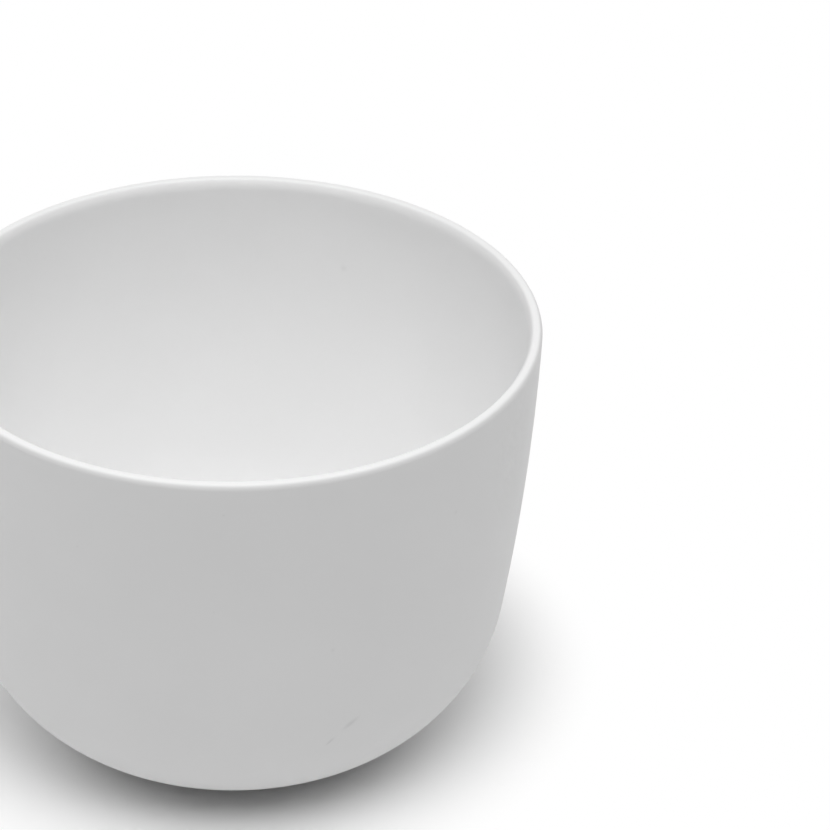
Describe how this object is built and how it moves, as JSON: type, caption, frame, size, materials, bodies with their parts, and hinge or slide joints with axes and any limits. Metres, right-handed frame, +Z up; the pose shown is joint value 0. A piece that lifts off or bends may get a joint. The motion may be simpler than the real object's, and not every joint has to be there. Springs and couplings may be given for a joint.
{
  "type": "deep bowl",
  "caption": "Deep round bowl with an even wall that flares slightly to a softened rim, a rounded belly and a low bare foot ring; holds food, liquid or small things.",
  "frame": {"origin": "on the table, at the bowl's axis: the centre of the foot ring's standing face", "axes": "+Z up along the bowl's axis, out of the mouth; the bowl is round, so +X and +Y are any two level directions at right angles"},
  "size_m": [0.15, 0.15, 0.1145],
  "materials": {
    "bare_clay": "fired clay, bare and finely sanded, dull",
    "matt_glaze": "neutral white glaze, nearly matt"
  },
  "bodies": {
    "root": {"clay_body": "bare_clay", "inside_glaze": "matt_glaze", "outside_glaze": "matt_glaze", "base_glaze": "matt_glaze"}
  },
  "joints": []
}
